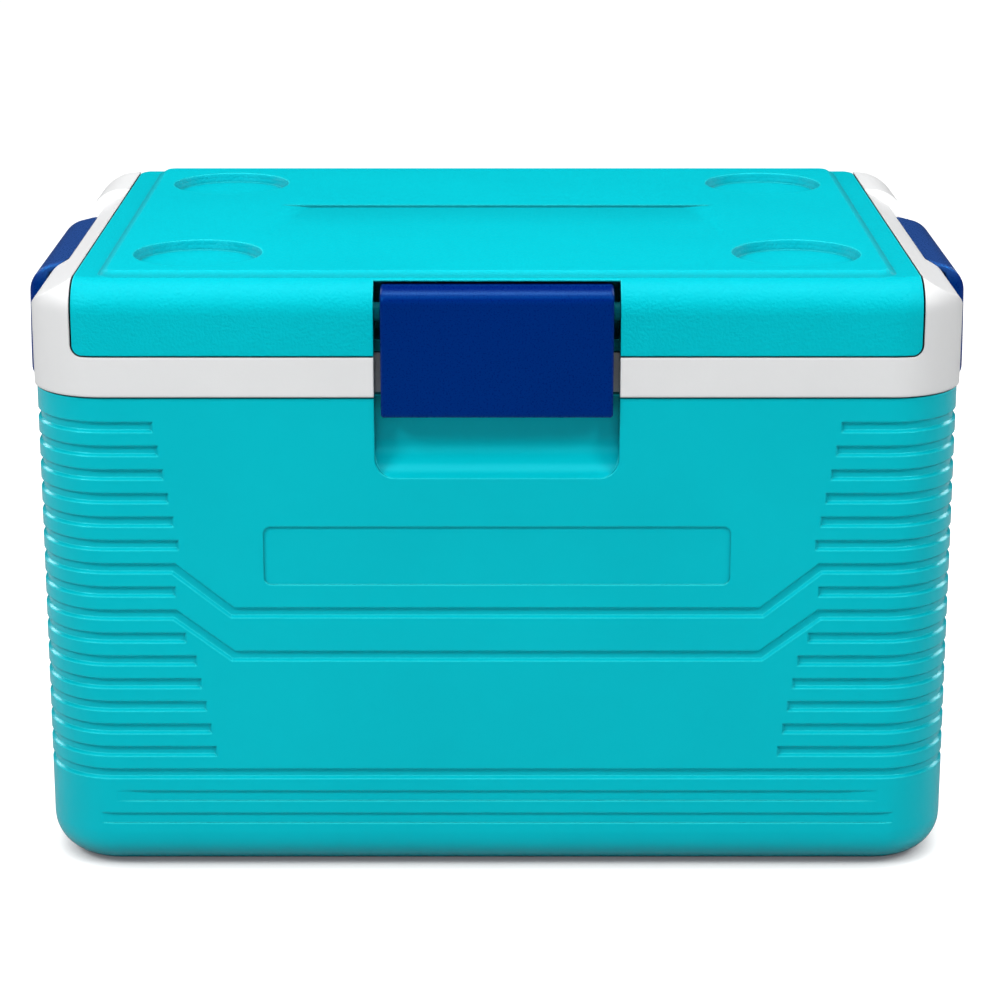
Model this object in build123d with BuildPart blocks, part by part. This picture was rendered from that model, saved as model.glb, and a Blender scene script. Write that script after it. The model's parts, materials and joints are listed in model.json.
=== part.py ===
from build123d import *

import os
from math import cos, radians, sin, sqrt, tan

# Insulated vaccine carrier: a ribbed, foam-filled box with a hinged lid, a front latch,
# two swing handles and four ice packs. Millimetres. +X runs along the front, the front
# looks towards -Y, +Z is up. The origin is the middle of the base, on the floor.

# ---------------------------------------------------------------- driving dimensions
# Outer shell
body_width = 600.0
body_depth = 390.0
corner_radius = 48.0
shell_height = 326.5
shell_wall = 4.5
foam_bevel = 15.0
base_rounding = 27.0

# Ribbing: horizontal grooves that leave ribs between them
groove_count = 18
groove_pitch = 15.83
first_groove_drop = 20.2
groove_height = 7.3
groove_depth = 2.0
groove_slope = 35.0
upper_groove_end = 220.0
middle_groove_end = 211.2
lower_groove_end = 196.1
groove_end_step = 2.9
low_groove_depth = 1.2
low_groove_fade = 24.0
upper_kink_knee = 209.5
upper_kink_drop = 30.1
lower_kink_drop = 28.3
kink_run = 37.5
groove_lap = 12.0
cutter_overrun = 1.0

# Blank name plate recess in the front wall
plate_width = 302.0
plate_height = 39.5
plate_corner = 5.0
plate_drop = 106.6
plate_depth = 1.2

# Finger scoop under the latch
bay_width = 157.0
scoop_height = 54.3
scoop_depth = 12.0
scoop_curve = 28.0
scoop_corner = 13.0
scoop_mid_angle = 28.0

# Insulation and liner
foam_wall = 40.0
floor_foam = 34.0
liner_wall = 2.0
liner_corner = 32.0
liner_floor_bevel = 10.0
liner_flange = 12.0

# Collar round the mouth, with a cheek at each end of the lid
rim_overhang = 1.5
collar_band = 26.0
collar_wall = 4.0
collar_deck = 3.0
cheek_height = 48.0
cheek_width = 30.2
cheek_slope = 30.0
cheek_shoulder = 16.0
cheek_rear_shoulder = 24.0
cheek_wall = 3.0
cheek_hollow_height = 17.0
cheek_hollow_end = 30.0
edge_rounding = 20.0
rear_rounding = 2.0

# Lid
lid_seam = 1.0
lid_side_gap = 1.2
lid_lower_corner = 6.0
lid_rear_corner = 12.0
lid_wall = 3.0
lid_inside_bevel = 16.0
panel_rise = 3.5
panel_half_width = 249.8
panel_front_inset = 25.0
panel_edge_angle = 60.0
panel_corner = 6.0
cup_radius = 42.3
cup_depth = 6.5
cup_draft = 22.0
cup_x = 196.2
cup_front_y = -119.0
cup_rear_y = 126.4
tray_width = 308.0
tray_length = 110.0
tray_rear_y = 44.0
tray_depth = 1.8
tray_side_run = 22.0

# Lid liner, plug and gasket
lid_liner_wall = 2.5
plug_depth = 18.0
plug_gap = 3.5
plug_edge = 6.0
gasket_width = 6.0
gasket_height = 2.0
gasket_edge_gap = 1.0

# Latch
latch_width = 148.0
latch_barrel = 17.5
latch_barrel_gap = 1.5
latch_axis_depth = 14.0
latch_mouth_back = 3.0
latch_front_stand = 2.5
latch_drop = 66.8
latch_depth = 9.0
latch_wall = 3.0
latch_end_wall = 6.0
latch_edge = 2.5
latch_top_edge = 8.0
latch_end_bevel = 1.2
latch_pivot_height = 27.5
latch_boss_radius = 6.0
latch_boss_gap = 0.4
latch_boss_seat = 12.0
latch_pin_radius = 3.0
latch_pin_reach = 5.6
latch_pin_seat = 12.0
hook_width = 56.0
hook_height = 6.0
hook_gap = 1.0
hook_reach = 4.0
catch_width = 120.0
catch_height = 8.0
catch_reach = 7.5
catch_top_drop = 2.0

# Swing handles
handle_length = 152.0
handle_arm = 22.0
handle_stand = 15.0
handle_lean = 2.0
handle_top_drop = 10.6
handle_top_slope = 14.0
handle_shoulder = 20.0
handle_end_rounding = 2.5
handle_plan_corner = 8.0
handle_inner_reach = 13.5
handle_pad = 6.2
handle_gap = 0.8
handle_end_gap = 1.5
handle_grip = 28.0
handle_pivot_drop = 10.0
handle_boss_radius = 7.5
handle_rear_relief = 14.0
ramp_angle = 34.0
lug_width = 10.0
lug_radius = 7.0
lug_gap = 0.5
lug_rise = 21.0
handle_pin_radius = 3.0
handle_pin_end = 1.0

# Rear hinges
hinge_width = 70.0
hinge_spacing = 300.0
hinge_plate = 3.0
hinge_knuckle = 5.5
hinge_stand = 6.0
hinge_knuckle_gap = 0.5
hinge_middle_share = 0.4
hinge_web = 7.0
hinge_body_leaf = 19.0
hinge_lid_leaf = 20.0
hinge_pin_radius = 2.5
hinge_pin_head = 4.0
hinge_pin_head_height = 1.5

# Ice packs, standing along the long walls of the liner
pack_width = 228.0
pack_height = 200.0
pack_thickness = 34.0
pack_bevel = 10.0
pack_spacing = 236.0
pack_wall_gap = 1.0
pack_panel_depth = 2.0
pack_panel_margin = 26.0
cap_radius = 14.0
cap_height = 12.0
cap_inset = 30.0
cap_sides = 12

# Fits
running_gap = 0.06
seat_gap = 0.02

# ---------------------------------------------------------------- derived places
half_width = body_width / 2
half_depth = body_depth / 2
rim_half_width = half_width + rim_overhang
rim_half_depth = half_depth + rim_overhang
rim_corner = corner_radius + rim_overhang

deck_z = shell_height + collar_band
deck_under_z = deck_z - collar_deck
margin_z = deck_z + cheek_height
lid_bottom_z = deck_z + lid_seam
top_z = margin_z + panel_rise

bay_half = bay_width / 2
bay_back_y = -half_depth + scoop_depth
cavity_half_width = half_width - shell_wall - foam_wall - liner_wall
cavity_half_depth = half_depth - shell_wall - foam_wall - liner_wall
floor_z = shell_wall + floor_foam + liner_wall
liner_depth = deck_under_z - floor_z

lid_bay_half = rim_half_width - cheek_width
lid_half_width = lid_bay_half - lid_side_gap
lid_inner_half = lid_half_width - lid_wall

latch_front_y = -rim_half_depth - latch_front_stand
latch_axis_y = latch_front_y + latch_axis_depth
latch_axis_z = deck_z + latch_pivot_height
latch_half = latch_width / 2
catch_top_z = deck_z - catch_top_drop
catch_bottom_z = catch_top_z - catch_height
hook_top_z = catch_bottom_z - hook_gap

handle_outer_x = rim_half_width + handle_stand
handle_axis_x = handle_outer_x - handle_boss_radius
handle_axis_z = shell_height - handle_pivot_drop
handle_half = handle_length / 2
handle_inner_x = rim_half_width - handle_inner_reach
handle_top_z = margin_z - handle_top_drop
top_slope = tan(radians(handle_top_slope))
seat_x = handle_inner_x - handle_gap
seat_floor_z = handle_top_z - handle_pad - handle_gap

# The cheek's section: a slope from the lid down to a rounded shoulder
slope_start_x = lid_bay_half - lid_side_gap / 2
slope_end_z = margin_z - (rim_half_width - slope_start_x) * tan(radians(cheek_slope))
shoulder_x = rim_half_width - cheek_shoulder
shoulder_z = slope_end_z - cheek_shoulder * tan(radians((90 - cheek_slope) / 2))

# A ramp behind each handle climbs from the seat's floor to the fuller rear of the cheek
ramp_foot_z = seat_floor_z - (rim_half_width - seat_x) * top_slope
ramp_foot_y = handle_half + handle_rear_relief
ramp_low_y = ramp_foot_y - (ramp_foot_z - deck_z) / tan(radians(ramp_angle))
ramp_high_y = ramp_foot_y + (top_z - ramp_foot_z) / tan(radians(ramp_angle))

hinge_axis_y = rim_half_depth + hinge_stand
hinge_axis_z = deck_z + lid_seam / 2


# ---------------------------------------------------------------- shared forms
def rounded_block(half_x, half_y, corner, bottom, top, bottom_edge=0.0, top_edge=0.0, bevel=0.0):
    """An upright block with rounded plan corners; its lower or upper edges may be rounded or bevelled."""
    with BuildPart() as block:
        with BuildSketch(Plane.XY.offset(bottom)):
            RectangleRounded(2 * half_x, 2 * half_y, corner)
        extrude(amount=top - bottom)
        if bottom_edge:
            fillet(block.faces().sort_by(Axis.Z)[0].edges(), bottom_edge)
        if top_edge:
            fillet(block.faces().sort_by(Axis.Z)[-1].edges(), top_edge)
        if bevel:
            chamfer(block.faces().sort_by(Axis.Z)[0].edges(), bevel)
    return block.part


def box_between(low, high):
    """A plain block from its lowest corner to its highest one."""
    size = [b - a for a, b in zip(low, high)]
    middle = [(a + b) / 2 for a, b in zip(low, high)]
    with BuildPart() as block:
        with Locations(tuple(middle)):
            Box(*size)
    return block.part


def rod(start, direction, radius, length):
    """A round bar that starts at a point and runs along a direction."""
    with BuildPart() as bar:
        with BuildSketch(Plane(origin=start, z_dir=direction)):
            Circle(radius)
        extrude(amount=length)
    return bar.part


def scoop(extra):
    """The finger scoop: a straight back that curves out to the front, grown by extra all round."""
    bottom = shell_height - scoop_height - extra
    back = bay_back_y + extra
    reach = scoop_depth + extra
    turn_z = bottom + sqrt(scoop_curve**2 - (scoop_curve - reach) ** 2)
    middle = (
        back - scoop_curve + scoop_curve * cos(radians(scoop_mid_angle)),
        turn_z - scoop_curve * sin(radians(scoop_mid_angle)),
    )
    front = -half_depth - scoop_curve
    with BuildPart() as form:
        with BuildSketch(Plane.YZ):
            with BuildLine():
                ThreePointArc((back, turn_z), middle, (-half_depth, bottom))
                Polyline(
                    (-half_depth, bottom),
                    (front, bottom),
                    (front, deck_z),
                    (back, deck_z),
                    (back, turn_z),
                )
            make_face()
        extrude(amount=bay_half + extra, both=True)
        with BuildSketch(Plane.XZ.offset(half_depth + scoop_curve)):
            with Locations((0, (bottom + deck_z) / 2 + scoop_corner)):
                Rectangle(2 * (bay_half + extra), deck_z - bottom + 2 * scoop_corner)
            fillet(vertices().group_by(Axis.Y)[0], scoop_corner)
        extrude(amount=-2 * scoop_curve - reach, mode=Mode.INTERSECT)
    return form.part


def upper_form():
    """The lid and both cheeks as one closed form: sloped over the cheeks and fuller behind the handles."""
    with BuildPart() as block:
        with Locations((0, edge_rounding, 0)):
            add(
                rounded_block(
                    rim_half_width,
                    rim_half_depth + edge_rounding,
                    rim_corner,
                    deck_z,
                    margin_z,
                    top_edge=edge_rounding,
                )
            )
        add(rounded_block(rim_half_width, rim_half_depth, rim_corner, deck_z, margin_z), mode=Mode.INTERSECT)
        with BuildSketch(Plane.YZ):
            Polygon(
                (-rim_half_depth, deck_z),
                (rim_half_depth, deck_z),
                (rim_half_depth, margin_z),
                (-rim_half_depth, margin_z),
                align=None,
            )
            fillet(vertices().group_by(Axis.X)[-1].group_by(Axis.Y)[-1], rear_rounding)
        extrude(amount=rim_half_width, both=True, mode=Mode.INTERSECT)
    with BuildPart() as rear:
        add(block.part)
        with BuildSketch(Plane.XZ):
            with Locations((0, (deck_z + margin_z) / 2)):
                Rectangle(2 * rim_half_width, cheek_height)
            fillet(vertices().group_by(Axis.Y)[-1], cheek_rear_shoulder)
        extrude(amount=rim_half_depth, both=True, mode=Mode.INTERSECT)
        with BuildSketch(Plane.YZ):
            Polygon(
                (ramp_low_y, deck_z),
                (rim_half_depth, deck_z),
                (rim_half_depth, top_z),
                (ramp_high_y, top_z),
                align=None,
            )
        extrude(amount=rim_half_width, both=True, mode=Mode.INTERSECT)
    with BuildPart() as form:
        add(block.part)
        with BuildSketch(Plane.XZ):
            Polygon(
                (-rim_half_width, deck_z),
                (rim_half_width, deck_z),
                (rim_half_width, slope_end_z),
                (slope_start_x, margin_z),
                (-slope_start_x, margin_z),
                (-rim_half_width, slope_end_z),
                align=None,
            )
            fillet(vertices().group_by(Axis.Y)[1], cheek_shoulder)
        extrude(amount=rim_half_depth, both=True, mode=Mode.INTERSECT)
        add(rear.part)
    return form.part


def tub_form(extra):
    """The inside of the liner, grown by extra, from the underside of the deck down."""
    mouth = Plane(origin=(0, 0, deck_under_z), x_dir=(1, 0, 0), z_dir=(0, 0, -1))
    with BuildPart() as form:
        with BuildSketch(mouth):
            RectangleRounded(
                2 * (cavity_half_width + extra), 2 * (cavity_half_depth + extra), liner_corner + extra
            )
        extrude(amount=liner_depth + extra)
        chamfer(form.faces().sort_by(Axis.Z)[0].edges(), liner_floor_bevel + extra)
    return form.part


def latch_pocket(extra):
    """The pocket in the lid's front for the latch barrel, grown by extra for its wall."""
    back = bay_back_y + extra
    mouth = latch_axis_y + latch_mouth_back + extra
    front = -rim_half_depth - edge_rounding
    with BuildPart() as form:
        with BuildSketch(Plane.YZ):
            with Locations((latch_axis_y, latch_axis_z)):
                Circle(latch_barrel + latch_barrel_gap + extra)
            Polygon(
                (front, shell_height),
                (back, shell_height),
                (back, latch_axis_z),
                (mouth, latch_axis_z),
                (mouth, top_z),
                (front, top_z),
                align=None,
            )
        extrude(amount=bay_half + extra, both=True)
    return form.part


os.makedirs("parts", exist_ok=True)

# ---------------------------------------------------------------- outer shell
groove_levels = [shell_height - first_groove_drop - i * groove_pitch for i in range(groove_count)]
groove_half = groove_height / 2
groove_rise = tan(radians(groove_slope))
flat_half_width = half_width - corner_radius
upper_ends = [upper_groove_end - i * groove_end_step for i in range(6)]
middle_ends = [middle_groove_end - i * groove_end_step for i in range(4)]
lower_ends = [lower_groove_end - i * groove_end_step for i in range(5)]
groove_ends = upper_ends + middle_ends + lower_ends

# What the shell leaves free for the foam, up to the underside of the collar's deck
with BuildPart() as foam_space:
    add(
        rounded_block(
            half_width - shell_wall,
            half_depth - shell_wall,
            corner_radius - shell_wall,
            shell_wall,
            deck_under_z,
            bevel=foam_bevel,
        )
    )
    add(scoop(shell_wall), mode=Mode.SUBTRACT)

# One groove that wraps both ends and the back, open at the front
with BuildPart() as wrap_groove:
    with BuildLine():
        FilletPolyline(
            (-flat_half_width + groove_lap, -half_depth),
            (-half_width, -half_depth),
            (-half_width, half_depth),
            (half_width, half_depth),
            (half_width, -half_depth),
            (flat_half_width - groove_lap, -half_depth),
            radius=corner_radius,
        )
    with BuildSketch(Plane.YZ.offset(-flat_half_width + groove_lap)):
        Polygon(
            (-half_depth - cutter_overrun, groove_half + cutter_overrun * groove_rise),
            (-half_depth - cutter_overrun, -groove_half - cutter_overrun * groove_rise),
            (-half_depth + groove_depth, groove_depth * groove_rise - groove_half),
            (-half_depth + groove_depth, groove_half - groove_depth * groove_rise),
            align=None,
        )
    sweep()

# The straight grooves of the front wall; the seventh and the ninth step down and cross it
kinks = {6: upper_kink_drop, 8: lower_kink_drop}
kink_knee = upper_kink_knee - kink_run
with BuildPart() as front_grooves:
    with BuildSketch(Plane.XZ.offset(half_depth)):
        for index, end_x in enumerate(groove_ends):
            if index not in kinks:
                band = flat_half_width - end_x
                middle_x = end_x + band / 2
                with Locations((middle_x, groove_levels[index]), (-middle_x, groove_levels[index])):
                    Rectangle(band, groove_height)
        with Locations((0, groove_levels[15])):
            Rectangle(2 * flat_half_width, groove_height)
    extrude(amount=-groove_depth, taper=groove_slope)
    for index, drop in kinks.items():
        level = groove_levels[index]
        lean = groove_half * drop / (kink_run + sqrt(kink_run**2 + drop**2))
        upper_line = [
            (-flat_half_width, level + groove_half),
            (-upper_kink_knee + lean, level + groove_half),
            (-kink_knee + lean, level - drop + groove_half),
        ]
        lower_line = [
            (-flat_half_width, level - groove_half),
            (-upper_kink_knee - lean, level - groove_half),
            (-kink_knee - lean, level - drop - groove_half),
        ]
        outline = upper_line + [(-x, z) for x, z in reversed(upper_line)]
        outline += [(-x, z) for x, z in lower_line] + lower_line[::-1]
        with BuildSketch(Plane.XZ.offset(half_depth)):
            Polygon(*outline, align=None)
        extrude(amount=-groove_depth, taper=groove_slope)
    # The two lowest grooves are shallow: one fades out before the corners, the other runs into them
    for level, fade in zip(groove_levels[16:], (low_groove_fade, 0)):
        floor_y = low_groove_depth - half_depth
        with BuildSketch(Plane.XY.offset(level - groove_half)):
            Polygon(
                (-flat_half_width, -half_depth),
                (fade - flat_half_width, floor_y),
                (flat_half_width - fade, floor_y),
                (flat_half_width, -half_depth),
                align=None,
            )
            if not fade:
                with Locations((0, (floor_y - half_depth) / 2)):
                    Rectangle(body_width, low_groove_depth)
        extrude(amount=groove_height)

with BuildPart() as outer_shell:
    add(rounded_block(half_width, half_depth, corner_radius, 0, shell_height, bottom_edge=base_rounding))
    add(foam_space.part, mode=Mode.SUBTRACT)
    add(scoop(0), mode=Mode.SUBTRACT)
    add(front_grooves.part, mode=Mode.SUBTRACT)
    with Locations(*[(0, 0, level) for level in groove_levels[:16]]):
        add(wrap_groove.part, mode=Mode.SUBTRACT)
    with BuildSketch(Plane.XZ.offset(half_depth)):
        with Locations((0, shell_height - plate_drop)):
            RectangleRounded(plate_width, plate_height, plate_corner)
    extrude(amount=-plate_depth, mode=Mode.SUBTRACT)
outer_shell.part.label = "outer_shell"
export_step(outer_shell.part, "parts/outer_shell.step")

# ---------------------------------------------------------------- foam and liner of the box
flange_half_x = cavity_half_width + liner_flange
flange_half_y = cavity_half_depth + liner_flange
with BuildPart() as liner_envelope:
    add(tub_form(liner_wall))
    add(
        rounded_block(
            flange_half_x,
            flange_half_y,
            liner_corner + liner_flange,
            deck_under_z - liner_wall,
            deck_under_z,
        )
    )

with BuildPart() as foam_core:
    add(foam_space.part)
    add(liner_envelope.part, mode=Mode.SUBTRACT)
foam_core.part.label = "foam_core"
export_step(foam_core.part, "parts/foam_core.step")

with BuildPart() as inner_liner:
    add(liner_envelope.part)
    add(tub_form(0), mode=Mode.SUBTRACT)
inner_liner.part.label = "inner_liner"
export_step(inner_liner.part, "parts/inner_liner.step")

# ---------------------------------------------------------------- collar with its two cheeks
lug_outer_y = handle_half - handle_arm - lug_gap
lug_inner_y = lug_outer_y - lug_width
collar_inner_x = rim_half_width - collar_wall
collar_inner_y = rim_half_depth - collar_wall
seat_run = handle_outer_x - seat_x

# Cheeks: what is left of the upper form outside the lid
with BuildPart() as cheeks:
    add(upper_form())
    with BuildSketch(Plane.XZ):
        with Locations((0, (deck_z + margin_z) / 2)):
            Rectangle(2 * lid_bay_half, cheek_height)
        fillet(vertices().group_by(Axis.Y)[0], lid_lower_corner + lid_side_gap)
    extrude(amount=rim_half_depth, both=True, mode=Mode.SUBTRACT)

# Right-hand seat of the swing handle, with the ramp behind it
with BuildPart() as handle_seat:
    with BuildSketch(Plane.XZ):
        Polygon(
            (seat_x, seat_floor_z),
            (handle_outer_x, seat_floor_z - seat_run * top_slope),
            (handle_outer_x, top_z),
            (seat_x, top_z),
            align=None,
        )
    extrude(amount=rim_half_depth, both=True)
    with BuildSketch(Plane.YZ):
        Polygon(
            (-handle_half - handle_end_gap, deck_z),
            (ramp_low_y, deck_z),
            (ramp_high_y, top_z),
            (-handle_half - handle_end_gap, top_z),
            align=None,
        )
    extrude(amount=handle_outer_x, both=True, mode=Mode.INTERSECT)

# Right-hand pivot lugs of the swing handle
with BuildPart() as handle_lugs:
    for lug_y in (lug_outer_y, -lug_inner_y):
        with BuildSketch(Plane.XZ.offset(-lug_y)):
            with Locations((handle_axis_x, handle_axis_z)):
                Circle(lug_radius)
            Polygon(
                (handle_axis_x + lug_radius, handle_axis_z),
                (handle_axis_x - lug_radius, handle_axis_z),
                (handle_axis_x - lug_radius, shell_height),
                (rim_half_width, shell_height),
                (rim_half_width, handle_axis_z + lug_rise),
                align=None,
            )
            with Locations((handle_axis_x, handle_axis_z)):
                Circle(handle_pin_radius + seat_gap, mode=Mode.SUBTRACT)
        extrude(amount=lug_width)

with BuildPart() as top_collar:
    add(rounded_block(rim_half_width, rim_half_depth, rim_corner, shell_height, deck_z))
    add(
        rounded_block(
            collar_inner_x, collar_inner_y, rim_corner - collar_wall, shell_height, deck_under_z
        ),
        mode=Mode.SUBTRACT,
    )
    with BuildSketch(Plane.XY.offset(deck_under_z)):
        RectangleRounded(2 * cavity_half_width, 2 * cavity_half_depth, liner_corner)
    extrude(amount=collar_deck, mode=Mode.SUBTRACT)
    # The recess behind the latch, with its own wall and the catch the hook grips under
    add(
        box_between(
            (-bay_half - collar_wall, -rim_half_depth, shell_height),
            (bay_half + collar_wall, bay_back_y + collar_wall, deck_z),
        )
    )
    add(
        box_between(
            (-bay_half, -rim_half_depth, shell_height),
            (bay_half, bay_back_y, deck_z),
        ),
        mode=Mode.SUBTRACT,
    )
    add(
        box_between(
            (-catch_width / 2, bay_back_y - catch_reach, catch_bottom_z),
            (catch_width / 2, bay_back_y, catch_top_z),
        )
    )
    add(cheeks.part)
    # Hollows under the cheeks, open at the bottom
    for low_x, high_x in (
        (lid_bay_half + cheek_wall, seat_x - cheek_wall),
        (cheek_wall - seat_x, -lid_bay_half - cheek_wall),
    ):
        add(
            box_between(
                (low_x, cheek_hollow_end - rim_half_depth, deck_under_z),
                (high_x, rim_half_depth - cheek_hollow_end, deck_z + cheek_hollow_height),
            ),
            mode=Mode.SUBTRACT,
        )
    add(handle_seat.part, mode=Mode.SUBTRACT)
    add(mirror(handle_seat.part, about=Plane.YZ, mode=Mode.PRIVATE), mode=Mode.SUBTRACT)
    add(handle_lugs.part)
    add(mirror(handle_lugs.part, about=Plane.YZ, mode=Mode.PRIVATE))
top_collar.part.label = "top_collar"
export_step(top_collar.part, "parts/top_collar.step")

# ---------------------------------------------------------------- swing handles and their pins
handle_face_x = rim_half_width + handle_gap
handle_top_x = handle_outer_x - handle_lean
pad_under_z = handle_top_z - handle_pad
pin_reach = handle_half - handle_pin_end - lug_inner_y

# Room under the pad for the cheek's side and rounded shoulder
with BuildSketch(Plane.XZ) as cheek_room:
    with Locations((shoulder_x, shoulder_z)):
        Circle(cheek_shoulder + handle_gap)
    Polygon(
        (handle_inner_x, handle_axis_z),
        (handle_face_x, handle_axis_z),
        (handle_face_x, shoulder_z),
        (handle_inner_x, shoulder_z),
        align=None,
    )
    Polygon(
        (handle_inner_x, handle_axis_z),
        (handle_outer_x, handle_axis_z),
        (handle_outer_x, pad_under_z - (handle_outer_x - handle_inner_x) * top_slope),
        (handle_inner_x, pad_under_z),
        align=None,
        mode=Mode.INTERSECT,
    )

with BuildPart() as right_handle:
    with BuildSketch(Plane.XZ):
        Polygon(
            (handle_inner_x, handle_top_z),
            (handle_inner_x, handle_axis_z),
            (handle_outer_x, handle_axis_z),
            (handle_top_x, handle_top_z - (handle_top_x - handle_inner_x) * top_slope),
            align=None,
        )
        add(cheek_room.sketch_local, mode=Mode.SUBTRACT)
        fillet(vertices().group_by(Axis.X)[-2], handle_shoulder)
        with Locations((handle_axis_x, handle_axis_z)):
            Circle(handle_boss_radius)
    extrude(amount=handle_half, both=True)
    ends = right_handle.faces().sort_by(Axis.Y)
    fillet(ends[0].edges() + ends[-1].edges(), handle_end_rounding)
    with BuildSketch(Plane.XY.offset(handle_axis_z - handle_boss_radius)):
        with Locations(((handle_inner_x + handle_outer_x) / 2, 0)):
            RectangleRounded(handle_outer_x - handle_inner_x, handle_length, handle_plan_corner)
    extrude(amount=handle_top_z - handle_axis_z + handle_boss_radius, mode=Mode.INTERSECT)
    window_half = handle_half - handle_arm
    add(
        box_between(
            (handle_inner_x, -window_half, handle_axis_z - handle_boss_radius),
            (handle_outer_x, window_half, handle_top_z - handle_grip),
        ),
        mode=Mode.SUBTRACT,
    )
    add(
        rod(
            (handle_axis_x, handle_half, handle_axis_z),
            (0, -1, 0),
            handle_pin_radius + running_gap,
            handle_length,
        ),
        mode=Mode.SUBTRACT,
    )
left_handle = mirror(right_handle.part, about=Plane.YZ)
right_handle.part.label = "right_handle"
export_step(right_handle.part, "parts/right_handle.step")
left_handle.label = "left_handle"
export_step(left_handle, "parts/left_handle.step")

with BuildPart() as right_handle_pins:
    for side in (-1, 1):
        add(
            rod(
                (handle_axis_x, side * lug_inner_y, handle_axis_z),
                (0, side, 0),
                handle_pin_radius,
                pin_reach,
            )
        )
left_handle_pins = mirror(right_handle_pins.part, about=Plane.YZ)
right_handle_pins.part.label = "right_handle_pins"
export_step(right_handle_pins.part, "parts/right_handle_pins.step")
left_handle_pins.label = "left_handle_pins"
export_step(left_handle_pins, "parts/left_handle_pins.step")

# ---------------------------------------------------------------- lid
panel_front_y = panel_front_inset - rim_half_depth
panel_rear_y = rim_half_depth - rear_rounding - panel_rise * tan(radians(panel_edge_angle))
panel_middle_y = (panel_front_y + panel_rear_y) / 2
cup_places = [(side * cup_x, y) for side in (-1, 1) for y in (cup_front_y, cup_rear_y)]
inner_low = (-lid_inner_half, -rim_half_depth, lid_bottom_z)
downward = Plane(origin=(0, 0, top_z), x_dir=(1, 0, 0), z_dir=(0, 0, -1))

with BuildPart() as lid_inside:
    with BuildSketch(Plane.XY.offset(lid_bottom_z)):
        Rectangle(2 * lid_inner_half, 2 * (rim_half_depth - lid_wall))
        chamfer(vertices(), lid_inside_bevel)
    extrude(amount=margin_z - lid_wall - lid_bottom_z)
    top_edges = lid_inside.faces().sort_by(Axis.Z)[-1].edges().filter_by(Axis.X)
    chamfer(top_edges.sort_by(Axis.Y)[0], lid_inside_bevel)
    lower_edges = lid_inside.faces().sort_by(Axis.Z)[0].edges().filter_by(Axis.Y)
    chamfer(lower_edges, lid_lower_corner)
    add(latch_pocket(lid_wall), mode=Mode.SUBTRACT)
    for side in (-1, 1):
        add(
            rod(
                (side * bay_half, latch_axis_y, latch_axis_z),
                (side, 0, 0),
                latch_boss_radius,
                latch_boss_seat,
            ),
            mode=Mode.SUBTRACT,
        )
    with BuildSketch(downward):
        with Locations(*[(x, -y) for x, y in cup_places]):
            Rectangle(2 * (cup_radius + lid_wall), 2 * (cup_radius + lid_wall))
    extrude(amount=cup_depth + lid_wall, mode=Mode.SUBTRACT)

# Shallow tray that runs out towards the front and both sides
with BuildPart() as tray:
    with BuildSketch(Plane.YZ):
        Polygon(
            (tray_rear_y, top_z),
            (tray_rear_y, top_z - tray_depth),
            (tray_rear_y - tray_length, top_z),
            align=None,
        )
    extrude(amount=tray_width / 2, both=True)
    with BuildSketch(Plane.XZ.offset(-tray_rear_y)):
        Polygon(
            (-tray_width / 2, top_z),
            (tray_side_run - tray_width / 2, top_z - tray_depth),
            (tray_width / 2 - tray_side_run, top_z - tray_depth),
            (tray_width / 2, top_z),
            align=None,
        )
    extrude(amount=tray_length, mode=Mode.INTERSECT)

with BuildPart() as lid_shell:
    add(upper_form())
    with BuildSketch(Plane.XZ):
        with Locations((0, (lid_bottom_z + margin_z) / 2)):
            Rectangle(2 * lid_half_width, margin_z - lid_bottom_z)
        fillet(vertices().group_by(Axis.Y)[0], lid_lower_corner)
    extrude(amount=rim_half_depth, both=True, mode=Mode.INTERSECT)
    with BuildSketch(Plane.XY.offset(lid_bottom_z)):
        Rectangle(2 * lid_half_width, 2 * rim_half_depth)
        fillet(vertices().group_by(Axis.Y)[-1], lid_rear_corner)
    extrude(amount=top_z - lid_bottom_z, mode=Mode.INTERSECT)
    # Raised panel with sloping edges
    panel_slope = Plane(origin=(0, panel_middle_y, top_z), x_dir=(1, 0, 0), z_dir=(0, 0, -1))
    with BuildSketch(panel_slope):
        RectangleRounded(2 * panel_half_width, panel_rear_y - panel_front_y, panel_corner)
    extrude(amount=panel_rise, taper=-panel_edge_angle)
    add(lid_inside.part, mode=Mode.SUBTRACT)
    # Cup recesses
    with BuildSketch(downward):
        with Locations(*[(x, -y) for x, y in cup_places]):
            Circle(cup_radius)
    extrude(amount=cup_depth, taper=cup_draft, mode=Mode.SUBTRACT)
    add(tray.part, mode=Mode.SUBTRACT)
    # Pocket for the latch barrel with its two bosses
    add(latch_pocket(0), mode=Mode.SUBTRACT)
    for side in (-1, 1):
        boss_start = latch_half + latch_boss_gap
        add(
            rod(
                (side * boss_start, latch_axis_y, latch_axis_z),
                (side, 0, 0),
                latch_boss_radius,
                bay_half - boss_start,
            )
        )
        add(
            rod(
                (side * boss_start, latch_axis_y, latch_axis_z),
                (side, 0, 0),
                latch_pin_radius + seat_gap,
                latch_pin_seat,
            ),
            mode=Mode.SUBTRACT,
        )
lid_shell.part.label = "lid_shell"
export_step(lid_shell.part, "parts/lid_shell.step")

plug_half_x = cavity_half_width - plug_gap
plug_half_y = cavity_half_depth - plug_gap
gasket_half_x = cavity_half_width + gasket_edge_gap + gasket_width
gasket_half_y = cavity_half_depth + gasket_edge_gap + gasket_width
gasket_corner = liner_corner + gasket_edge_gap + gasket_width

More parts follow.
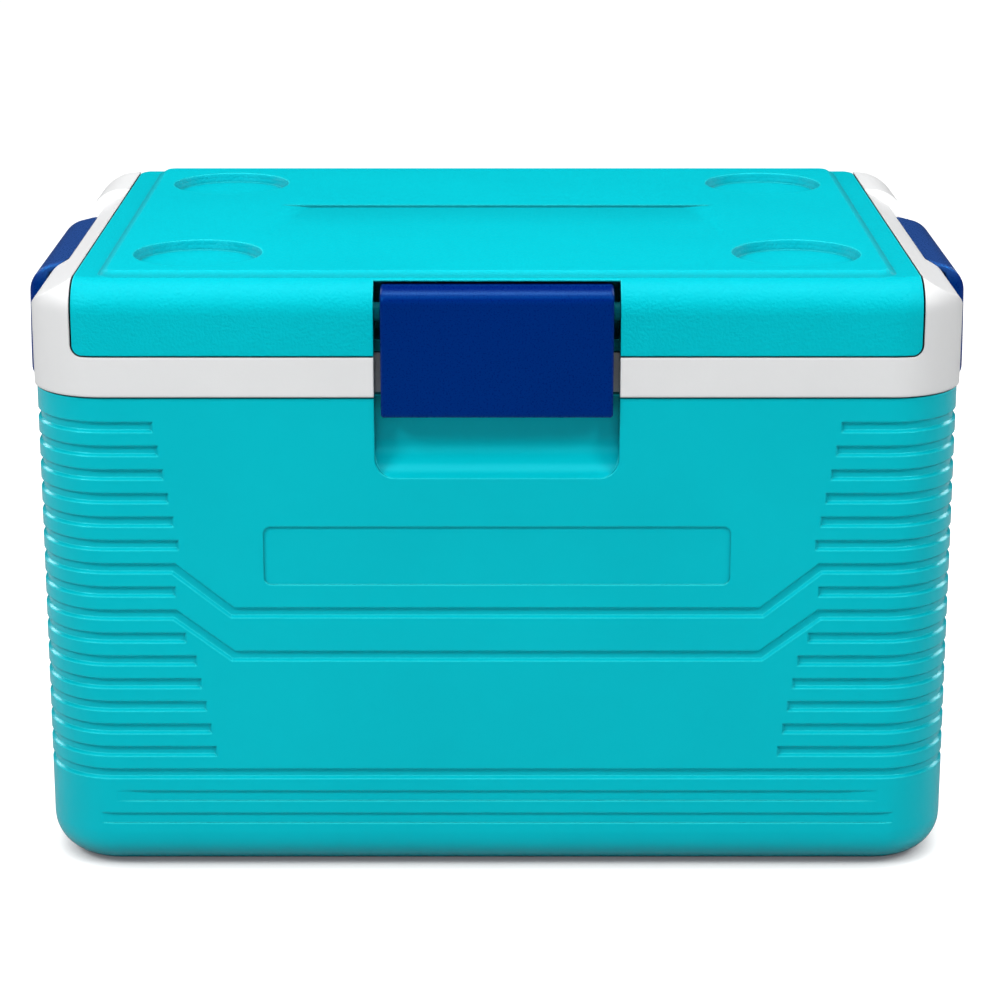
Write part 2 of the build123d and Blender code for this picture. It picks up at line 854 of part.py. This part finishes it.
with BuildPart() as lid_gasket:
    add(rounded_block(gasket_half_x, gasket_half_y, gasket_corner, deck_z, deck_z + gasket_height))
    add(
        rounded_block(
            gasket_half_x - gasket_width,
            gasket_half_y - gasket_width,
            gasket_corner - gasket_width,
            deck_z,
            deck_z + gasket_height,
        ),
        mode=Mode.SUBTRACT,
    )
lid_gasket.part.label = "lid_gasket"
export_step(lid_gasket.part, "parts/lid_gasket.step")

with BuildPart() as lid_liner:
    add(lid_inside.part)
    add(
        box_between(inner_low, (lid_inner_half, rim_half_depth, lid_bottom_z + lid_liner_wall)),
        mode=Mode.INTERSECT,
    )
    add(
        rounded_block(
            plug_half_x,
            plug_half_y,
            liner_corner - plug_gap,
            deck_z - plug_depth,
            lid_bottom_z,
            bevel=plug_edge,
        )
    )
    add(
        rounded_block(
            plug_half_x - lid_liner_wall,
            plug_half_y - lid_liner_wall,
            liner_corner - plug_gap - lid_liner_wall,
            deck_z - plug_depth + lid_liner_wall,
            lid_bottom_z + lid_liner_wall,
            bevel=plug_edge,
        ),
        mode=Mode.SUBTRACT,
    )
    add(lid_gasket.part, mode=Mode.SUBTRACT)
lid_liner.part.label = "lid_liner"
export_step(lid_liner.part, "parts/lid_liner.step")

with BuildPart() as lid_foam:
    add(lid_inside.part)
    add(
        box_between(inner_low, (lid_inner_half, rim_half_depth, lid_bottom_z + lid_liner_wall)),
        mode=Mode.SUBTRACT,
    )
    add(
        rounded_block(
            plug_half_x - lid_liner_wall,
            plug_half_y - lid_liner_wall,
            liner_corner - plug_gap - lid_liner_wall,
            deck_z - plug_depth + lid_liner_wall,
            lid_bottom_z + lid_liner_wall,
            bevel=plug_edge,
        )
    )
lid_foam.part.label = "lid_foam"
export_step(lid_foam.part, "parts/lid_foam.step")

# ---------------------------------------------------------------- latch
cover_back_y = latch_front_y + latch_depth
cover_bottom_z = latch_axis_z - latch_drop
rib_front_y = latch_front_y + latch_wall
with BuildPart() as latch_cover:
    with BuildSketch(Plane.YZ):
        with Locations((latch_axis_y, latch_axis_z)):
            Circle(latch_barrel)
        Polygon(
            (latch_front_y - latch_barrel, latch_axis_z - latch_barrel),
            (latch_front_y, latch_axis_z - latch_barrel),
            (latch_front_y, latch_axis_z + latch_barrel),
            (latch_front_y - latch_barrel, latch_axis_z + latch_barrel),
            align=None,
            mode=Mode.SUBTRACT,
        )
        Polygon(
            (latch_front_y, latch_axis_z),
            (latch_front_y, cover_bottom_z),
            (cover_back_y, cover_bottom_z),
            (cover_back_y, latch_axis_z),
            align=None,
        )
        fillet(vertices().group_by(Axis.X)[0].sort_by(Axis.Y)[-1], latch_top_edge)
        fillet(vertices().group_by(Axis.X)[0].sort_by(Axis.Y)[0], latch_edge)
    extrude(amount=latch_half, both=True)
    ends = latch_cover.faces().sort_by(Axis.X)
    chamfer(ends[0].edges() + ends[-1].edges(), latch_end_bevel)
    with BuildSketch(Plane.YZ):
        with Locations((latch_axis_y, latch_axis_z)):
            Circle(latch_barrel - latch_wall)
        Polygon(
            (latch_front_y, latch_axis_z - latch_barrel),
            (rib_front_y, latch_axis_z - latch_barrel),
            (rib_front_y, latch_axis_z + latch_barrel),
            (latch_front_y, latch_axis_z + latch_barrel),
            align=None,
            mode=Mode.SUBTRACT,
        )
        Polygon(
            (rib_front_y, latch_axis_z),
            (rib_front_y, cover_bottom_z + latch_wall),
            (latch_axis_y, cover_bottom_z + latch_wall),
            (latch_axis_y, latch_axis_z),
            align=None,
        )
    extrude(amount=latch_half - latch_end_wall, both=True, mode=Mode.SUBTRACT)
    # Hook rib that grips under the catch
    add(
        box_between(
            (-hook_width / 2, rib_front_y, hook_top_z - hook_height),
            (hook_width / 2, bay_back_y - catch_reach + hook_reach, hook_top_z),
        )
    )
    for side in (-1, 1):
        rod_start = (side * latch_half, latch_axis_y, latch_axis_z)
        add(
            rod(rod_start, (-side, 0, 0), latch_pin_radius + running_gap, latch_end_wall),
            mode=Mode.SUBTRACT,
        )
latch_cover.part.label = "latch_cover"
export_step(latch_cover.part, "parts/latch_cover.step")

right_latch_pin = rod(
    (latch_half - latch_pin_reach, latch_axis_y, latch_axis_z),
    (1, 0, 0),
    latch_pin_radius,
    latch_pin_reach + latch_boss_gap + latch_pin_seat,
)
left_latch_pin = mirror(right_latch_pin, about=Plane.YZ)
right_latch_pin.label = "right_latch_pin"
export_step(right_latch_pin, "parts/right_latch_pin.step")
left_latch_pin.label = "left_latch_pin"
export_step(left_latch_pin, "parts/left_latch_pin.step")

# ---------------------------------------------------------------- rear hinges
middle_half = hinge_width * hinge_middle_share / 2
side_start = middle_half + hinge_knuckle_gap
leaf_back_y = rim_half_depth
for hinge_x, side_name in ((-hinge_spacing / 2, "left"), (hinge_spacing / 2, "right")):
    low_x = hinge_x - hinge_width / 2
    high_x = hinge_x + hinge_width / 2
    with BuildPart() as body_leaf:
        add(
            box_between(
                (low_x, leaf_back_y, hinge_axis_z - hinge_body_leaf),
                (high_x, leaf_back_y + hinge_plate, hinge_axis_z - hinge_web),
            )
        )
        for start, stop in ((low_x, hinge_x - side_start), (hinge_x + side_start, high_x)):
            add(
                box_between(
                    (start, leaf_back_y, hinge_axis_z - hinge_web),
                    (stop, hinge_axis_y, hinge_axis_z),
                )
            )
            add(rod((start, hinge_axis_y, hinge_axis_z), (1, 0, 0), hinge_knuckle, stop - start))
        add(
            rod((low_x, hinge_axis_y, hinge_axis_z), (1, 0, 0), hinge_pin_radius + seat_gap, hinge_width),
            mode=Mode.SUBTRACT,
        )
    body_leaf.part.label = f"{side_name}_hinge_body_leaf"
    export_step(body_leaf.part, f"parts/{side_name}_hinge_body_leaf.step")

    with BuildPart() as lid_leaf:
        add(
            box_between(
                (low_x, leaf_back_y, hinge_axis_z + hinge_web),
                (high_x, leaf_back_y + hinge_plate, hinge_axis_z + hinge_lid_leaf),
            )
        )
        add(
            box_between(
                (hinge_x - middle_half, leaf_back_y, hinge_axis_z + lid_seam / 2),
                (hinge_x + middle_half, hinge_axis_y, hinge_axis_z + hinge_web),
            )
        )
        add(
            rod(
                (hinge_x - middle_half, hinge_axis_y, hinge_axis_z),
                (1, 0, 0),
                hinge_knuckle,
                2 * middle_half,
            )
        )
        add(
            rod(
                (low_x, hinge_axis_y, hinge_axis_z), (1, 0, 0), hinge_pin_radius + running_gap, hinge_width
            ),
            mode=Mode.SUBTRACT,
        )
    lid_leaf.part.label = f"{side_name}_hinge_lid_leaf"
    export_step(lid_leaf.part, f"parts/{side_name}_hinge_lid_leaf.step")

    with BuildPart() as hinge_pin:
        add(rod((low_x, hinge_axis_y, hinge_axis_z), (1, 0, 0), hinge_pin_radius, hinge_width))
        for end_x, direction in ((low_x, -1), (high_x, 1)):
            add(
                rod(
                    (end_x, hinge_axis_y, hinge_axis_z),
                    (direction, 0, 0),
                    hinge_pin_head,
                    hinge_pin_head_height,
                )
            )
    hinge_pin.part.label = f"{side_name}_hinge_pin"
    export_step(hinge_pin.part, f"parts/{side_name}_hinge_pin.step")

# ---------------------------------------------------------------- ice packs
pack_y = cavity_half_depth - pack_wall_gap - pack_thickness / 2
with BuildPart() as ice_pack:
    with BuildSketch(Plane.XZ):
        with Locations((0, pack_height / 2)):
            Rectangle(pack_width, pack_height)
    extrude(amount=pack_thickness / 2, both=True)
    chamfer(ice_pack.edges().filter_by(Axis.Y), pack_bevel)
    chamfer(ice_pack.faces().filter_by(Axis.Y).edges(), pack_bevel)
    for face_side in (-1, 1):
        with BuildSketch(Plane.XZ.offset(face_side * pack_thickness / 2)):
            with Locations((0, pack_height / 2)):
                Rectangle(pack_width - 2 * pack_panel_margin, pack_height - 2 * pack_panel_margin)
            chamfer(vertices(), pack_bevel)
        extrude(amount=-face_side * pack_panel_depth, mode=Mode.SUBTRACT)

with BuildPart() as ice_pack_cap:
    with BuildSketch(Plane.XY.offset(pack_height)):
        with Locations((pack_width / 2 - cap_inset, 0)):
            RegularPolygon(cap_radius, cap_sides)
    extrude(amount=cap_height)

pack_places = [
    (-pack_spacing / 2, -pack_y, floor_z),
    (pack_spacing / 2, -pack_y, floor_z),
    (-pack_spacing / 2, pack_y, floor_z),
    (pack_spacing / 2, pack_y, floor_z),
]
for number, place in enumerate(pack_places, start=1):
    placed_pack = Pos(*place) * ice_pack.part
    placed_pack.label = f"ice_pack_{number}"
    export_step(placed_pack, f"parts/ice_pack_{number}.step")
    placed_cap = Pos(*place) * ice_pack_cap.part
    placed_cap.label = f"ice_pack_cap_{number}"
    export_step(placed_cap, f"parts/ice_pack_cap_{number}.step")
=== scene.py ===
import math
import random

import bmesh
import bpy
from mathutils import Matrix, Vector
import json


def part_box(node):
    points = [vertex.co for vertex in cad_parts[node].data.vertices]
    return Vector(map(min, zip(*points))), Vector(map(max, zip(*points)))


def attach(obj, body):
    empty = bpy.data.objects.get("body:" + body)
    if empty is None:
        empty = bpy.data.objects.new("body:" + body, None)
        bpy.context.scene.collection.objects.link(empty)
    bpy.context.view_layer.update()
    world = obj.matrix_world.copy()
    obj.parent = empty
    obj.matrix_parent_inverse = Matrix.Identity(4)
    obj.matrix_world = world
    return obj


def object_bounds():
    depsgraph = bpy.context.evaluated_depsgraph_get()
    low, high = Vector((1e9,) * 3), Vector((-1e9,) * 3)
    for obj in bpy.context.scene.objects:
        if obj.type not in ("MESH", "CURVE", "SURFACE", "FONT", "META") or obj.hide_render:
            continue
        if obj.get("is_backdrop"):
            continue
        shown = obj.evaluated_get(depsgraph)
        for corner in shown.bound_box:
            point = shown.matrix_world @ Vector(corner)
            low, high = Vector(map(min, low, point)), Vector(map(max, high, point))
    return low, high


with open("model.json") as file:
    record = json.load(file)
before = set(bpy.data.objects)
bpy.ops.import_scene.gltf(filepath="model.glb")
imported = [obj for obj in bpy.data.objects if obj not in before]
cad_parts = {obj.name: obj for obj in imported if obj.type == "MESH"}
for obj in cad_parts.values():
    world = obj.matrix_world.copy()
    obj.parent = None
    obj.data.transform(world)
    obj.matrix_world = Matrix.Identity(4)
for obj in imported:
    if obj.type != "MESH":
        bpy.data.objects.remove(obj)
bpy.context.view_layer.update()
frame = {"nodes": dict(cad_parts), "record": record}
nodes = frame["nodes"]
random.seed(7)


# ---------------------------------------------------------------- shader maths
class Wire:
    """One output socket of a node tree, which can be multiplied by another or by a number."""

    def __init__(self, graph, socket):
        self.graph = graph
        self.socket = socket

    def __mul__(self, other):
        return self.graph.math("MULTIPLY", self, other)

    def __rmul__(self, other):
        return self.graph.math("MULTIPLY", other, self)


class Graph:
    """The emptied node tree of a new material, or of the world."""

    def __init__(self, name, world=None):
        self.material = world or bpy.data.materials.new(name)
        self.material.use_nodes = True
        self.tree = self.material.node_tree
        self.tree.nodes.clear()

    def node(self, kind, out=0, settings=None, **sockets):
        """Makes a node: its settings first, then its sockets. Socket names use _ for a space."""
        made = self.tree.nodes.new(kind)
        for key, value in (settings or {}).items():
            setattr(made, key, value)
        for key, value in sockets.items():
            name = key.replace("_", " ")
            index = int(name[1:]) if name[0] == "i" and name[1:].isdigit() else name
            if isinstance(value, Wire):
                self.tree.links.new(value.socket, made.inputs[index])
            else:
                made.inputs[index].default_value = value
        return Wire(self, made.outputs[out])

    def math(self, operation, a, b):
        return self.node("ShaderNodeMath", settings={"operation": operation}, i0=a, i1=b)

    def mix(self, amount, a, b):
        """Colour a where amount is 0, and b where it is 1."""
        return self.node("ShaderNodeMix", out=2, settings={"data_type": "RGBA"}, i0=amount, i6=a, i7=b)

    def place(self, scale=(1, 1, 1)):
        """Where a point is on the object, in metres, stretched by scale."""
        spot = self.node("ShaderNodeTexCoord", out=3)
        return self.node("ShaderNodeMapping", Vector=spot, Scale=scale)

    def noise(self, scale, detail=3.0, stretch=(1, 1, 1)):
        return self.node(
            "ShaderNodeTexNoise", Vector=self.place(stretch), Scale=scale, Detail=detail, Roughness=0.55
        )

    def ramp(self, value, low, high, start=0.0, end=1.0):
        """value from low..high, taken to start..end and held there."""
        return self.node(
            "ShaderNodeMapRange", i0=value, i1=low, i2=high, i3=start, i4=end
        )

    def bump(self, height, strength, distance, normal=None):
        sockets = {"Height": height, "Strength": strength, "Distance": distance}
        if normal is not None:
            sockets["Normal"] = normal
        return self.node("ShaderNodeBump", **sockets)

    def round_edges(self, radius):
        return self.node("ShaderNodeBevel", settings={"samples": 4}, Radius=radius)

    def surface(self, shader, output="ShaderNodeOutputMaterial"):
        """Ends the tree with a shader, and gives what the tree belongs to."""
        end = self.tree.nodes.new(output)
        self.tree.links.new(shader.socket, end.inputs["Surface"])
        return self.material

    def finish(self, **sockets):
        return self.surface(self.node("ShaderNodeBsdfPrincipled", **sockets))


hollow_reach = 0.03
seam_reach = 0.004


def moulded(
    name,
    deep,
    light,
    painted_crease_shade,
    painted_seam_shade,
    rough,
    grain,
    grain_depth,
    edge,
    tint,
    level,
    open_air=0.7,
    painted_ledge_highlight=None,
    painted_light_bands=(),
):
    """Moulded plastic: two close shades, with painted shade in hollows and seams, a grain and softened
    edges.

    open_air is how much open air round a point leaves it its full colour, free of the painted shade.
    The ledge colour is a painted highlight on the narrow edges that look a little upwards. Each band is a
    painted highlight or painted shade that fades in between two heights and out between two more, all in
    metres.
    """
    g = Graph(name)
    cloud = g.noise(9.0, 4.0)
    fine = g.noise(grain, 2.0)
    # Painted shade: ambient occlusion darkens hollows to the crease colour, and seams and corners to the
    # seam colour.
    hollow = g.node("ShaderNodeAmbientOcclusion", out=1, settings={"samples": 6}, Distance=hollow_reach)
    joint = g.node("ShaderNodeAmbientOcclusion", out=1, settings={"samples": 6}, Distance=seam_reach)
    shade = g.mix(g.ramp(cloud, 0.3, 0.7), deep, light)
    shaded = g.mix(g.ramp(hollow, 0.1, open_air), painted_crease_shade, shade)
    rounded = g.round_edges(edge)
    # Painted highlight: narrow edges whose rounded normal tilts upwards take the ledge colour.
    if painted_ledge_highlight:
        tilt = g.node("ShaderNodeSeparateXYZ", out=2, Vector=rounded)
        straight = g.node("ShaderNodeNewGeometry", out=3)
        agreement = g.node(
            "ShaderNodeVectorMath", out=1, settings={"operation": "DOT_PRODUCT"}, i0=rounded, i1=straight
        )
        at_edge = g.ramp(agreement, 0.85, 0.97, 1.0, 0.0)
        shaded = g.mix(at_edge * g.ramp(tilt, 0.2, 0.45), shaded, painted_ledge_highlight)
    height = g.node("ShaderNodeSeparateXYZ", out=2, Vector=g.place())
    # Painted highlight and shade lines, laid by height.
    for colour, (start, full, fade, stop) in painted_light_bands:
        within = g.ramp(height, start, full) * g.ramp(height, fade, stop, 1.0, 0.0)
        shaded = g.mix(within, shaded, colour)
    return g.finish(
        Base_Color=g.mix(g.ramp(joint, 0.25, open_air - 0.1), painted_seam_shade, shaded),
        Roughness=g.ramp(fine, 0.3, 0.7, rough - 0.02, rough + 0.03),
        Specular_IOR_Level=level,
        Specular_Tint=tint,
        Normal=g.bump(fine, 0.5, grain_depth, rounded),
    )


turquoise = {
    "deep": (0.0, 0.57, 0.67, 1),
    "light": (0.0, 0.6, 0.7, 1),
    "painted_crease_shade": (0.0, 0.2, 0.25, 1),
    "painted_seam_shade": (0.0, 0.05, 0.07, 1),
    "tint": (0.1, 0.9, 1.0, 1),
    "painted_ledge_highlight": (0.04, 0.95, 1.0, 1),
}
rim_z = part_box("outer_shell")[1].z
deck_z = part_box("top_collar")[1].z
top_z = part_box("lid_shell")[1].z
smooth_teal = moulded(
    "turquoise plastic",
    rough=0.2,
    grain=700.0,
    grain_depth=0.00006,
    edge=0.0014,
    level=0.6,
    # Painted highlight: a bright line just below the shell's rim. Painted shadow: a dark line along the
    # seam under the collar.
    painted_light_bands=(
        ((0.0, 0.68, 0.78, 1), (rim_z - 0.003, rim_z - 0.0022, rim_z - 0.0022, rim_z - 0.0014)),
        ((0.0, 0.03, 0.04, 1), (rim_z - 0.0016, rim_z - 0.0011, rim_z + 0.01, rim_z + 0.02)),
    ),
    **turquoise,
)
stippled_teal = moulded(
    "stippled turquoise plastic",
    rough=0.46,
    grain=520.0,
    grain_depth=0.0012,
    edge=0.0014,
    level=0.3,
    open_air=1.0,
    # Painted shade: the lid's sides are darker from their foot upward, fading out towards the top.
    painted_light_bands=(((0.0, 0.42, 0.5, 1), (deck_z - 0.0001, deck_z + 0.0003, deck_z + 0.0008, top_z - 0.0006)),),
    **turquoise,
)
white_shades = {
    "painted_crease_shade": (0.45, 0.46, 0.47, 1),
    "painted_seam_shade": (0.05, 0.06, 0.07, 1),
    "rough": 0.4,
    "grain": 700.0,
    "grain_depth": 0.0001,
    "edge": 0.002,
    "tint": (1, 1, 1, 1),
    "level": 0.3,
}
white = moulded("white plastic", deep=(0.88, 0.885, 0.89, 1), light=(0.92, 0.925, 0.93, 1), **white_shades)
liner_white = moulded(
    "white liner plastic", deep=(0.66, 0.67, 0.68, 1), light=(0.7, 0.71, 0.72, 1), **white_shades
)
blue = {
    "deep": (0.0, 0.014, 0.18, 1),
    "light": (0.0, 0.017, 0.2, 1),
    "painted_crease_shade": (0.0, 0.007, 0.09, 1),
    "painted_seam_shade": (0.0, 0.002, 0.03, 1),
    "tint": (0.0, 0.35, 1.0, 1),
    "rough": 0.28,
    "grain": 900.0,
    "grain_depth": 0.00004,
    "edge": 0.0026,
}
grip_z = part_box("left_handle")[1].z
navy = moulded("navy plastic", level=0.7, **blue)
navy_with_painted_sheen = moulded(
    "navy plastic with painted top sheen",
    level=1.0,
    # Painted highlight: a lighter blue sheen along the tops of the handles.
    painted_light_bands=(((0.022, 0.08, 0.32, 1), (grip_z - 0.016, grip_z - 0.004, 1.0, 2.0)),),
    **blue,
)


def steel():
    g = Graph("hinge steel")
    brushed = g.noise(60.0, 4.0, (0.05, 1, 1))
    return g.finish(
        Base_Color=g.mix(g.ramp(brushed, 0.3, 0.7), (0.5, 0.51, 0.53, 1), (0.62, 0.63, 0.65, 1)),
        Roughness=g.ramp(brushed, 0.3, 0.7, 0.25, 0.4),
        Metallic=1.0,
        Normal=g.bump(brushed, 0.2, 0.0001),
    )


def foam():
    g = Graph("rigid foam")
    cells = g.node("ShaderNodeTexVoronoi", Vector=g.place(), Scale=500.0)
    return g.finish(
        Base_Color=g.mix(g.ramp(cells, 0.0, 0.7), (0.72, 0.62, 0.36, 1), (0.85, 0.78, 0.52, 1)),
        Roughness=g.ramp(cells, 0.0, 0.7, 0.8, 0.95),
        Normal=g.bump(cells, 0.4, 0.0005),
    )


def rubber():
    g = Graph("gasket rubber")
    grain = g.noise(400.0)
    return g.finish(
        Base_Color=g.mix(grain, (0.02, 0.022, 0.025, 1), (0.045, 0.048, 0.05, 1)),
        Roughness=g.ramp(grain, 0.3, 0.7, 0.55, 0.75),
        Normal=g.bump(grain, 0.3, 0.0002),
    )


def frosted():
    g = Graph("frosted ice pack")
    frost = g.noise(45.0, 5.0)
    fine = g.noise(600.0, 2.0)
    return g.finish(
        Base_Color=g.mix(g.ramp(frost, 0.35, 0.65), (0.5, 0.66, 0.78, 1), (0.76, 0.85, 0.9, 1)),
        Roughness=g.ramp(fine, 0.3, 0.7, 0.3, 0.5),
        Normal=g.bump(fine, 0.4, 0.0003, g.round_edges(0.002)),
    )


slot_materials = {
    "shell_plastic": smooth_teal,
    "white_plastic": white,
    "blue_plastic": navy,
    "hinge_steel": steel(),
    "foam": foam(),
    "gasket_rubber": rubber(),
    "ice_pack_plastic": frosted(),
}
for part in frame["record"]["subparts"]:
    piece = nodes[part["node"]]
    piece.data.materials.clear()
    piece.data.materials.append(slot_materials[part["material_slot"]])
nodes["lid_shell"].data.materials[0] = stippled_teal
nodes["inner_liner"].data.materials[0] = liner_white
nodes["lid_liner"].data.materials[0] = liner_white
for side in ("left", "right"):
    nodes[f"{side}_handle"].data.materials[0] = navy_with_painted_sheen

# ---------------------------------------------------------------- hinge screws
def screw(name, body, place):
    """A pan-head screw with a cross recess, its head looking out of the back wall. Its sizes are in mm."""
    count = 48
    outline = ((3.6, 0.0), (3.6, 0.5), (3.35, 1.0), (2.9, 1.35), (2.5, 1.5))
    slot_reach, slot_root, slot_half_angle = 1.95, 0.75, 15
    slot_top, slot_bottom, slot_taper = 1.6, 0.8, 0.85
    centre_radius, centre_height = 0.3, 0.5
    recess = []
    for step in range(count):
        turn = (step * 360 / count + slot_half_angle / 2) % 90
        recess.append(slot_reach if min(turn, 90 - turn) < slot_half_angle else slot_root)
    rings = [([radius] * count, height) for radius, height in outline]
    rings.append((recess, slot_top))
    rings.append(([slot_taper * radius for radius in recess], slot_bottom))
    rings.append(([centre_radius] * count, centre_height))
    shape = bmesh.new()
    loops = []
    for radii, height in rings:
        loop = []
        for step, radius in enumerate(radii):
            angle = 2 * math.pi * step / count
            spot = (radius * math.cos(angle), height, radius * math.sin(angle))
            loop.append(shape.verts.new([v / 1000 for v in spot]))
        loops.append(loop)
    for lower, upper in zip(loops, loops[1:]):
        for step in range(count):
            after = (step + 1) % count
            shape.faces.new((lower[step], upper[step], upper[after], lower[after]))
    shape.faces.new(loops[0])
    shape.faces.new(loops[-1][::-1])
    bmesh.ops.recalc_face_normals(shape, faces=shape.faces)
    mesh = bpy.data.meshes.new(name)
    shape.to_mesh(mesh)
    shape.free()
    mesh.materials.append(slot_materials["hinge_steel"])
    head = bpy.data.objects.new(name, mesh)
    head.location = place
    head.rotation_euler = (0, random.uniform(0, math.pi / 2), 0)
    bpy.context.collection.objects.link(head)
    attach(head, body)
    return head


leaf_thickness = 0.003
leaf_face_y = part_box("top_collar")[1].y + leaf_thickness
screw_half_spacing = 0.022
body_screw_rise = 0.006
lid_screw_drop = 0.0065
for side in ("left", "right"):
    for body, leaf in (("carrier", "body_leaf"), ("lid", "lid_leaf")):
        low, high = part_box(f"{side}_hinge_{leaf}")
        middle_z = low.z + body_screw_rise if body == "carrier" else high.z - lid_screw_drop
        for offset in (-screw_half_spacing, screw_half_spacing):
            spot = ((low.x + high.x) / 2 + offset, leaf_face_y, middle_z)
            screw(f"{side}_{leaf}_screw_{'a' if offset < 0 else 'b'}", body, spot)

# ---------------------------------------------------------------- camera
camera_data = bpy.data.cameras.new("camera")
camera_data.lens = 102.2
camera_data.sensor_width = 36.0
camera_data.shift_x = 0.003
camera_data.shift_y = -0.1
camera = bpy.data.objects.new("camera", camera_data)
camera.location = (0.0, -1.9423, 0.79324)
camera.rotation_euler = (math.radians(90 - 15.02), 0, 0)
bpy.context.collection.objects.link(camera)
bpy.context.scene.camera = camera


# ---------------------------------------------------------------- light
def area_light(name, place, target, size, power):
    data = bpy.data.lights.new(name, "AREA")
    data.shape = "RECTANGLE"
    data.size, data.size_y = size
    data.energy = power
    lamp = bpy.data.objects.new(name, data)
    lamp.location = place
    lamp.rotation_euler = (Vector(target) - Vector(place)).to_track_quat("-Z", "Y").to_euler()
    bpy.context.collection.objects.link(lamp)
    return lamp


area_light("overhead softbox", (0.0, -0.1, 2.4), (0, -0.02, 0.3), (2.2, 0.7), 25)
area_light("rear left softbox", (-2.2, 1.8, 1.5), (-0.1, 0.15, 0.2), (0.8, 0.8), 11)
area_light("rear right softbox", (2.2, 1.8, 1.5), (0.1, 0.15, 0.2), (0.8, 0.8), 11)
area_light("key softbox", (0.0, -1.45, 2.5), (0, -0.1, 0.2), (2.4, 0.9), 14)
area_light("front fill", (0.0, -3.2, 0.9), (0, 0, 0.25), (3.4, 1.0), 8)
area_light("left softbox", (-1.8, -1.4, 2.1), (-0.1, -0.1, 0.2), (0.8, 0.8), 40)
area_light("right softbox", (1.8, -1.4, 2.1), (0.1, -0.1, 0.2), (0.8, 0.8), 28)

room_strength = 0.01
world = bpy.data.worlds.new("studio")
bpy.context.scene.world = world
g = Graph("studio", world)
seen = g.node("ShaderNodeLightPath")
room = g.node("ShaderNodeBackground", Color=(1, 1, 1, 1), Strength=room_strength)
paper = g.node("ShaderNodeBackground", Color=(1, 1, 1, 1), Strength=1.0)
both = g.node("ShaderNodeMixShader", i0=seen, i1=room, i2=paper)
g.surface(both, "ShaderNodeOutputWorld")

# ---------------------------------------------------------------- floor
floor_mesh = bpy.data.meshes.new("floor")
grid = bmesh.new()
bmesh.ops.create_grid(grid, x_segments=2, y_segments=2, size=6.0)
grid.to_mesh(floor_mesh)
grid.free()
floor = bpy.data.objects.new("floor", floor_mesh)
bpy.context.collection.objects.link(floor)
g = Graph("white paper")
fibre = g.noise(40.0)
# Painted contact shadow: the floor's glow darkens by ambient occlusion near the carrier.
contact_shadow_mask = g.node("ShaderNodeAmbientOcclusion", out=1, settings={"samples": 8}, Distance=0.04)
lit = g.node(
    "ShaderNodeBsdfPrincipled",
    Base_Color=g.mix(fibre, (0.5, 0.5, 0.5, 1), (0.52, 0.52, 0.52, 1)),
    Roughness=0.9,
    Specular_IOR_Level=0.0,
    Emission_Color=g.mix(g.ramp(contact_shadow_mask, 0.15, 0.75), (0.1, 0.1, 0.11, 1), (1.0, 1.0, 1.0, 1)),
    Emission_Strength=1.0,
)
dim = g.node("ShaderNodeBsdfDiffuse", Color=(0.52, 0.52, 0.52, 1))
seen = g.node("ShaderNodeLightPath")
both = g.node("ShaderNodeMixShader", i0=seen, i1=dim, i2=lit)
floor_mesh.materials.append(g.surface(both))
floor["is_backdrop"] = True

bpy.context.scene.view_settings.view_transform = "Standard"

low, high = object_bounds()
